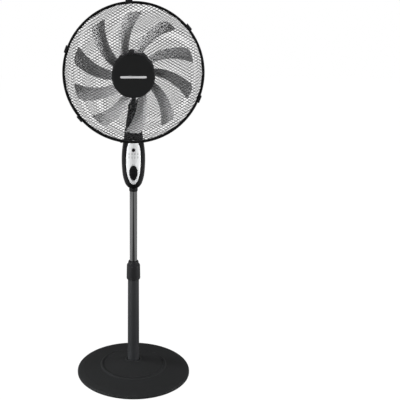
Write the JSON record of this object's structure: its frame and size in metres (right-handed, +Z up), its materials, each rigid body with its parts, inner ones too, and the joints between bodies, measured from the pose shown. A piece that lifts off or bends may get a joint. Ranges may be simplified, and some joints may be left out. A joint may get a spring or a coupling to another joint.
{
  "type": "pedestal fan",
  "caption": "Pedestal fan with a weighted round base, telescopic mast, control panel, and a guarded fan head that swings and tilts.",
  "frame": {"origin": "centre of the base, on the floor", "axes": "+Z up along the mast, -Y the way the fan blows, +X to the right as seen from the front"},
  "size_m": [0.43, 0.385, 1.2628],
  "materials": {
    "base_black": "fine satin moulded texture",
    "ballast": "as cast",
    "plain_steel": "zinc plated",
    "laminated_steel": "plain laminations",
    "tube_dark": "dark satin powder coat",
    "white_nylon": "plain moulded nylon",
    "collar_black": "matt moulded",
    "mast_chrome": "polished chrome plate",
    "black_plastic": "moulded",
    "housing_black": "gloss",
    "fascia_silver": "silver satin paint",
    "light_guide": "clear smoked lamps, unlit",
    "dark_lens": "polished infrared window",
    "board": "solder resist",
    "soft_rubber": "matt",
    "key_black": "semi gloss",
    "motor_black": "fine satin moulded texture",
    "guard_wire": "dark plated wire",
    "ring_black": "semi gloss trim",
    "badge_black": "satin",
    "clip_black": "moulded",
    "blade_grey": "mid grey semi gloss"
  },
  "bodies": {
    "stand": {"base_cover": "base_black", "base_weight": "ballast", "foot_pad_1": "soft_rubber", "foot_pad_2": "soft_rubber", "foot_pad_3": "soft_rubber", "foot_pad_4": "soft_rubber", "foot_pad_5": "soft_rubber", "tube_socket": "plain_steel", "base_bolt": "plain_steel", "lower_tube": "tube_dark", "guide_bush": "white_nylon", "mast_collet": "white_nylon"},
    "collar": {"height_collar": "collar_black"},
    "mast": {"mast_tube": "mast_chrome", "mast_end_plug": "black_plastic", "mast_top_ring": "black_plastic", "control_front_shell": "housing_black", "control_rear_shell": "housing_black", "housing_screw_1": "plain_steel", "housing_screw_2": "plain_steel", "control_fascia": "fascia_silver", "led_strip_upper": "light_guide", "led_strip_lower": "light_guide", "ir_window": "dark_lens", "circuit_board": "board", "cable_gland": "soft_rubber", "swing_motor": "plain_steel", "swivel_socket": "black_plastic"},
    "key_power": {"button_power": "key_black"},
    "key_timer": {"button_timer": "key_black"},
    "key_swing": {"button_swing": "key_black"},
    "key_speed": {"button_speed": "key_black"},
    "swivel": {"swivel_neck": "housing_black", "swivel_nut": "plain_steel", "tilt_pin": "plain_steel"},
    "head": {"motor_front_cover": "motor_black", "tilt_lug": "motor_black", "lug_screw_1": "plain_steel", "lug_screw_2": "plain_steel", "motor_rear_shell": "motor_black", "motor_stator": "laminated_steel", "front_bearing": "plain_steel", "rear_bearing": "plain_steel", "front_grille": "guard_wire", "rear_grille": "guard_wire", "grille_nut": "black_plastic", "front_hoop": "guard_wire", "rear_hoop": "guard_wire", "guard_ring": "ring_black", "lock_screw": "plain_steel", "badge_disc": "badge_black"},
    "spin": {"fan_blade": "blade_grey", "blade_nut": "black_plastic", "motor_shaft": "plain_steel", "motor_rotor": "laminated_steel"},
    "clip_1": {"guard_clip_1": "clip_black"},
    "clip_2": {"guard_clip_2": "clip_black"},
    "clip_3": {"guard_clip_3": "clip_black"},
    "clip_4": {"guard_clip_4": "clip_black"},
    "clip_5": {"guard_clip_5": "clip_black"}
  },
  "joints": [
    {"name": "height_slide", "type": "slide", "parent": "stand", "child": "mast", "axis": [0, 0, 1], "range_m": [-0.2, 0.02]},
    {"name": "collar_twist", "type": "hinge", "parent": "stand", "child": "collar", "pos_m": [0, 0, 0.38], "axis": [0, 0, 1], "range_deg": [0, 120]},
    {"name": "power_press", "type": "slide", "parent": "mast", "child": "key_power", "axis": [0, 1, 0], "range_m": [0, 0.0008], "stiffness_N_per_m": 900, "springref_m": -0.0004},
    {"name": "timer_press", "type": "slide", "parent": "mast", "child": "key_timer", "axis": [0, 1, 0], "range_m": [0, 0.0008], "stiffness_N_per_m": 900, "springref_m": -0.0004},
    {"name": "swing_press", "type": "slide", "parent": "mast", "child": "key_swing", "axis": [0, 1, 0], "range_m": [0, 0.0008], "stiffness_N_per_m": 900, "springref_m": -0.0004},
    {"name": "speed_press", "type": "slide", "parent": "mast", "child": "key_speed", "axis": [0, 1, 0], "range_m": [0, 0.0008], "stiffness_N_per_m": 900, "springref_m": -0.0004},
    {"name": "swing", "type": "hinge", "parent": "mast", "child": "swivel", "pos_m": [0, 0, 0.86], "axis": [0, 0, 1], "range_deg": [-40, 40]},
    {"name": "tilt", "type": "hinge", "parent": "swivel", "child": "head", "pos_m": [0, 0, 0.935], "axis": [-1, 0, 0], "range_deg": [-10, 25]},
    {"name": "fan_spin", "type": "hinge", "parent": "head", "child": "spin", "pos_m": [0, 0, 1.043], "axis": [0, 1, 0], "continuous": true},
    {"name": "clip_1_flip", "type": "hinge", "parent": "head", "child": "clip_1", "pos_m": [-0.01328, -0.075, 1.26009], "axis": [-0.9981, 0, -0.061], "range_deg": [0, 75]},
    {"name": "clip_2_flip", "type": "hinge", "parent": "head", "child": "clip_2", "pos_m": [0.16662, -0.075, 1.18281], "axis": [-0.6428, 0, 0.766], "range_deg": [0, 75]},
    {"name": "clip_3_flip", "type": "hinge", "parent": "head", "child": "clip_3", "pos_m": [0.20305, -0.075, 0.96505], "axis": [0.3584, 0, 0.9336], "range_deg": [0, 75]},
    {"name": "clip_4_flip", "type": "hinge", "parent": "head", "child": "clip_4", "pos_m": [-0.16662, -0.075, 0.90319], "axis": [0.6428, 0, -0.766], "range_deg": [0, 75]},
    {"name": "clip_5_flip", "type": "hinge", "parent": "head", "child": "clip_5", "pos_m": [-0.20438, -0.075, 1.11739], "axis": [-0.342, 0, -0.9397], "range_deg": [0, 75]}
  ]
}
